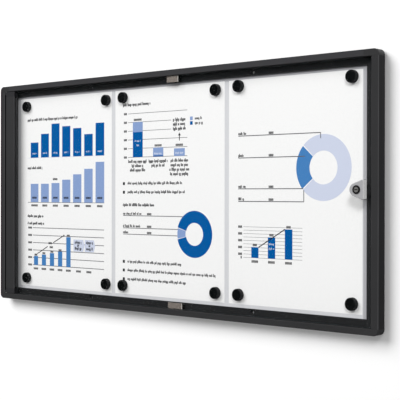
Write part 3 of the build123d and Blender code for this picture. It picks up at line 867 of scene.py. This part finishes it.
def brushed_steel():
    material, tree = new_finish("clip_steel")
    place = place_on(tree)
    brush = speckle(stretched(place, brush_run), brush_width)
    cloud = speckle(place, clip_cloud)
    plate = between(0.5 * brush + 0.5 * cloud, tone(108, 100, 94), tone(138, 130, 124))
    close_finish(
        tree,
        {
            # A painted highlight on the bends and edges.
            "Base Color": between(chamfer_mask(tree), plate, tone(196, 193, 188)),
            "Metallic": 1.0,
            "Roughness": 0.16 + 0.12 * brush,
            "Normal": relief(brush, brush_relief),
        },
    )
    return material


dress(brushed_steel(), "stop_clip_top", "stop_clip_bottom", "clip_rivets")


# Hinge profile and pivot blocks
# The door's left edge: a black extrusion with a slot for the pane, closed at each
# end by a moulded block that turns on a pin in the corner piece.
dress(hinge_black, "hinge_profile")
block_grain = 0.0005
block_tones = tone(38, 38, 40), tone(50, 50, 52)
dress(grained("block_black", block_tones, block_grain, 0.42), "pivot_block_top", "pivot_block_bottom")


# Pane and its tapes
# Clear acrylic, polished on its edges, held in the slot by two thin strips of
# grey foam tape. It is all but invisible face on and shows at its edges.
face_share = 0.02
edge_share = 0.7
haze_cloud = 0.05
foam_cells = 0.0006
tape_tones = tone(84, 84, 86), tone(104, 104, 106)


def clear_acrylic():
    material, tree = new_finish("pane_clear")
    broad = tree.math("ABSOLUTE", facing(tree, "Y"))
    haze = speckle(place_on(tree), haze_cloud)
    close_finish(
        tree,
        {
            "Base Color": tone(58, 70, 72),
            "Roughness": 0.03 + 0.05 * haze,
            "IOR": 1.49,
            "Alpha": edge_share + (face_share - edge_share) * broad,
        },
    )
    return material


dress(clear_acrylic(), "door_pane")
dress(grained("tape_foam", tape_tones, foam_cells, 0.7), "pane_tape_front", "pane_tape_back")


# Lock
# A grey die-cast housing on the pane, with a painted highlight on its edges and its right flank
# painted white for the light falling on it, a black barrel clamped through both by a nut, and a
# dark nickel plug with a key slot and a ring of painted highlight, which turns the steel cam
# behind the strike on the stile.
cast_grain = 0.0007
cast_relief = 0.00003
cast_cloud = 0.006
lit_flank_facing = 0.9


def die_cast_grey():
    material, tree = new_finish("lock_grey")
    place = place_on(tree)
    grain = speckle(place, cast_grain, 3.0)
    cloud = speckle(place, cast_cloud)
    # Faces turned to the right are painted white, and edges lighter: painted light.
    lit_flank = tree.math("GREATER_THAN", facing(tree, "X"), lit_flank_facing)
    painted_light = tree.math("MAXIMUM", lit_flank, 0.35 * chamfer_mask(tree))
    body = between(0.5 * grain + 0.5 * cloud, tone(148, 148, 150), tone(160, 160, 162))
    close_finish(
        tree,
        {
            "Base Color": between(painted_light, body, tone(255, 255, 255)),
            "Roughness": 0.40 + 0.15 * grain,
            "Normal": relief(grain, cast_relief),
        },
    )
    return material


lock_middle = sum(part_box("lock_barrel"), Vector()) / 2
plug_low, plug_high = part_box("lock_plug")
plug_width = plug_high.x - plug_low.x
highlight_radius = 0.3 * plug_width
highlight_width = 0.1 * plug_width
lathe_pitch = 0.0004
lathe_relief = 0.00001
plug_wear_and_glint = 0.0015


def turned_nickel():
    """Dark nickel turned on a lathe: fine rings about the lock's axis, and one ring of painted highlight.
    """
    material, tree = new_finish("lock_silver")
    place = place_on(tree)
    centred = tree.node(
        "ShaderNodeMapping", inputs={"Vector": place, "Location": -lock_middle, "Scale": (1.0, 0.0, 1.0)}
    )
    away = tree.node("ShaderNodeVectorMath", {"operation": "LENGTH"}, {0: centred}, "Value")
    rings = tree.math("SINE", away * (2 * pi / lathe_pitch))
    wear_and_glint = speckle(place, plug_wear_and_glint)
    # A painted highlight ring on the plug's face, in patches.
    painted_highlight = tree.math("COMPARE", away, highlight_radius, highlight_width) * (0.4 + wear_and_glint)
    close_finish(
        tree,
        {
            "Base Color": between(painted_highlight, tone(104, 103, 101), tone(188, 187, 184)),
            "Metallic": 1.0,
            "Roughness": 0.22 + 0.16 * wear_and_glint,
            "Normal": relief(rings, lathe_relief),
        },
    )
    return material


barrel_grain = 0.0005
barrel_tones = tone(14, 14, 14), tone(24, 24, 25)
strike_grain = 0.0003
strike_tones = tone(38, 38, 39), tone(48, 48, 49)
dress(die_cast_grey(), "lock_housing")
dress(grained("lock_black", barrel_tones, barrel_grain, 0.25), "lock_barrel")
dress(turned_nickel(), "lock_plug")
dress(zinc, "lock_nut", "lock_cam", "strike_rivets")
dress(grained("strike_black", strike_tones, strike_grain, 0.5), "lock_strike")


# Wall, floor and light
# A white wall and a pale floor, both seen from the front only. A large soft lamp hangs above and
# to the left, and two smaller ones to the right, one of them kept off the wall. One lamp keeps the
# wall white, one lights the back, and the white room fills the shadows.
wall_width = 8.0
half_wall = wall_width / 2
floor_drop = 1.5
wall_rise = 2.5
wall_gap = 0.0004
wall_glow = 0.10
floor_glow = 0.12
room_fill = 0.27
room_white = tone(255, 255, 255)
key_place = (-1.55, -2.95, 2.35)
key_size = 2.9
side_place = (2.4, -2.7, 2.0)
side_size = 1.0
back_place = (0.6, 2.2, 1.0)
back_size = 1.5


def seen_directly(tree):
    """1 for the eye and for what metal and glass show, and 0 for all other light."""
    eye = tree.node("ShaderNodeLightPath", output="Is Camera Ray")
    shown = tree.math("MAXIMUM", eye.beside("Is Glossy Ray"), eye.beside("Is Transmission Ray"))
    return tree.math("MAXIMUM", eye, shown)


def stage_white(name, albedo, glow):
    """White for the eye and for reflections, with the shadow kept, and clear for all other light."""
    material, tree = new_finish(name)
    seen = seen_directly(tree)
    behind = tree.node("ShaderNodeNewGeometry", output="Backfacing")
    matt = tree.node("ShaderNodeBsdfDiffuse", inputs={"Color": albedo})
    light = tree.node("ShaderNodeEmission", inputs={"Color": room_white, "Strength": glow})
    lit = tree.node("ShaderNodeAddShader", inputs={0: matt, 1: light})
    clear = tree.node("ShaderNodeBsdfTransparent")
    shown = tree.node("ShaderNodeMixShader", inputs={0: seen * (1 - behind), 1: clear, 2: lit})
    tree.node("ShaderNodeOutputMaterial", inputs={"Surface": shown})
    return material


def stage_plane(name, corners, material):
    mesh = bpy.data.meshes.new(name)
    mesh.from_pydata(corners, [], [range(len(corners))])
    mesh.materials.append(material)
    plane = bpy.data.objects.new(name, mesh)
    bpy.context.scene.collection.objects.link(plane)
    return plane


wall = stage_plane(
    "wall",
    [
        (-half_wall, wall_gap, -floor_drop),
        (half_wall, wall_gap, -floor_drop),
        (half_wall, wall_gap, wall_rise),
        (-half_wall, wall_gap, wall_rise),
    ],
    stage_white("wall_white", tone(252, 252, 252), wall_glow),
)
stage_plane(
    "floor",
    [
        (-half_wall, -wall_width, -floor_drop),
        (half_wall, -wall_width, -floor_drop),
        (half_wall, wall_gap, -floor_drop),
        (-half_wall, wall_gap, -floor_drop),
    ],
    stage_white("floor_pale", tone(225, 225, 225), floor_glow),
)


def lamp(name, place, size, power, wall_state=None):
    """A square soft lamp that faces the case. It may leave out the wall or light it alone."""
    light = bpy.data.lights.new(name, "AREA")
    light.size = size
    light.energy = power
    holder = bpy.data.objects.new(name, light)
    holder.location = place
    holder.rotation_euler = Vector(place).to_track_quat("Z", "Y").to_euler()
    bpy.context.scene.collection.objects.link(holder)
    if wall_state:
        receivers = bpy.data.collections.new(name + "_receivers")
        receivers.objects.link(wall)
        receivers.collection_objects[0].light_linking.link_state = wall_state
        holder.light_linking.receiver_collection = receivers


lamp("key_lamp", key_place, key_size, 130.0)
lamp("side_lamp", side_place, side_size, 22.0)
lamp("flagged_lamp", side_place, side_size, 61.0, "EXCLUDE")
lamp("wall_lamp", key_place, key_size, 57.0, "INCLUDE")
lamp("back_lamp", back_place, back_size, 40.0)

world = bpy.data.worlds.new("white_room")
world.use_nodes = True
world.node_tree.nodes.clear()
room = Signal(world.node_tree)
dim_room = room.node("ShaderNodeBackground", inputs={"Color": room_white, "Strength": room_fill})
bright_room = room.node("ShaderNodeBackground", inputs={"Color": room_white, "Strength": 1.0})
either = room.node("ShaderNodeMixShader", inputs={0: seen_directly(room), 1: dim_room, 2: bright_room})
room.node("ShaderNodeOutputWorld", inputs={"Surface": either})
bpy.context.scene.world = world
bpy.context.scene.view_settings.view_transform = "Standard"


# Camera
# Long lens, a little below the middle of the case and well to its right, so that the
# case's right side shows and its left end looks smaller.
camera = bpy.data.cameras.new("camera")
camera.lens = 95.58
camera.sensor_width = 36.0
camera_place = Vector((1.0236, -1.0928, -0.00275))
camera_turn = 0.7228598
camera_pitch = -0.0052264
camera_roll = 0.0013711
viewer = bpy.data.objects.new("camera", camera)
viewer.matrix_world = (
    Matrix.Translation(camera_place)
    @ Euler((pi / 2 + camera_pitch, 0, camera_turn)).to_matrix().to_4x4()
    @ Matrix.Rotation(camera_roll, 4, "Z")
)
bpy.context.scene.collection.objects.link(viewer)
bpy.context.scene.camera = viewer
